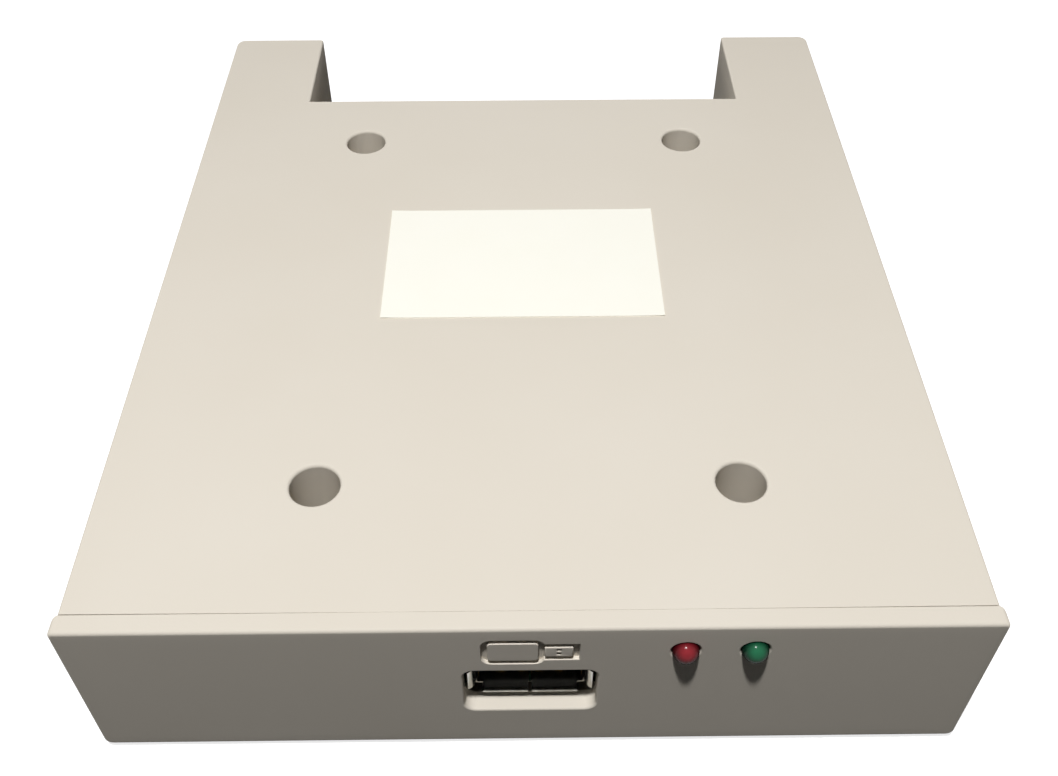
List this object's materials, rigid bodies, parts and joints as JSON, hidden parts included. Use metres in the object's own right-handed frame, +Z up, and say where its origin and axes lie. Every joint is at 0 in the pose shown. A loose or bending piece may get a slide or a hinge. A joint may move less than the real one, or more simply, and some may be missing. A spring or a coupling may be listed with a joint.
{
  "type": "floppy drive emulator",
  "caption": "Flat cream plastic drive case with a memory-stick port and signal lamps on the front panel, screw wells in the top and a cable bay with pin headers at the back.",
  "frame": {"origin": "middle of the base, at the centre of the whole object's width and depth", "axes": "+Z up, -Y out of the front panel, +X to the right seen from the front"},
  "size_m": [0.1028, 0.1238, 0.0255],
  "materials": {
    "case_plastic": "cream moulded ABS with a fine satin grain",
    "label_paper": "coated white paper",
    "screw_steel": "zinc-plated steel",
    "board_laminate": "glass-epoxy laminate under green solder mask",
    "shell_steel": "tin-plated pressed steel",
    "black_plastic": "black moulded polyester",
    "contact_metal": "gold-flashed phosphor bronze",
    "red_epoxy": "diffused red epoxy",
    "green_epoxy": "diffused green epoxy",
    "tinned_wire": "tinned copper and steel",
    "chip_epoxy": "black moulding epoxy",
    "crystal_metal": "nickel-plated steel can",
    "capacitor_sleeve": "dark sleeved aluminium can",
    "resistor_ceramic": "glazed thick-film alumina",
    "capacitor_ceramic": "tan barium-titanate ceramic",
    "white_nylon": "natural white nylon"
  },
  "bodies": {
    "drive": {"top_cover": "case_plastic", "bottom_shell": "case_plastic", "front_bezel": "case_plastic", "paper_label": "label_paper", "case_screws": "screw_steel", "main_board": "board_laminate", "usb_shell": "shell_steel", "usb_insulator": "black_plastic", "floppy_header_block": "black_plastic", "jumper_header_block": "black_plastic", "usb_contact_tails": "contact_metal", "floppy_header_pins": "contact_metal", "jumper_header_pins": "contact_metal", "red_led_lens": "red_epoxy", "green_led_lens": "green_epoxy", "red_led_leads": "tinned_wire", "green_led_leads": "tinned_wire", "controller_leads": "tinned_wire", "buffer_leads": "tinned_wire", "regulator_leads": "tinned_wire", "power_header_pins": "tinned_wire", "controller_chip": "chip_epoxy", "buffer_chips": "chip_epoxy", "regulator_body": "chip_epoxy", "crystal_can": "crystal_metal", "electrolytic_capacitors": "capacitor_sleeve", "chip_resistors": "resistor_ceramic", "chip_capacitors": "capacitor_ceramic", "power_header_block": "white_nylon"},
    "jumper_1": {"jumper_cap_1": "black_plastic", "jumper_clip_1": "contact_metal"},
    "jumper_2": {"jumper_cap_2": "black_plastic", "jumper_clip_2": "contact_metal"},
    "contact_1": {"usb_contact_1": "contact_metal"},
    "contact_2": {"usb_contact_2": "contact_metal"},
    "contact_3": {"usb_contact_3": "contact_metal"},
    "contact_4": {"usb_contact_4": "contact_metal"}
  },
  "joints": [
    {"name": "jumper_1_pull", "type": "slide", "parent": "drive", "child": "jumper_1", "axis": [0, 1, 0], "range_m": [0, 0.0066]},
    {"name": "jumper_2_pull", "type": "slide", "parent": "drive", "child": "jumper_2", "axis": [0, 1, 0], "range_m": [0, 0.0066]},
    {"name": "contact_1_press", "type": "hinge", "parent": "drive", "child": "contact_1", "pos_m": [-0.0035, -0.04845, 0.01311], "axis": [-1, 0, 0], "range_deg": [0, 5], "stiffness_Nm_per_rad": 0.05},
    {"name": "contact_2_press", "type": "hinge", "parent": "drive", "child": "contact_2", "pos_m": [-0.001, -0.04845, 0.01311], "axis": [-1, 0, 0], "range_deg": [0, 5], "stiffness_Nm_per_rad": 0.05},
    {"name": "contact_3_press", "type": "hinge", "parent": "drive", "child": "contact_3", "pos_m": [0.001, -0.04845, 0.01311], "axis": [-1, 0, 0], "range_deg": [0, 5], "stiffness_Nm_per_rad": 0.05},
    {"name": "contact_4_press", "type": "hinge", "parent": "drive", "child": "contact_4", "pos_m": [0.0035, -0.04845, 0.01311], "axis": [-1, 0, 0], "range_deg": [0, 5], "stiffness_Nm_per_rad": 0.05}
  ]
}
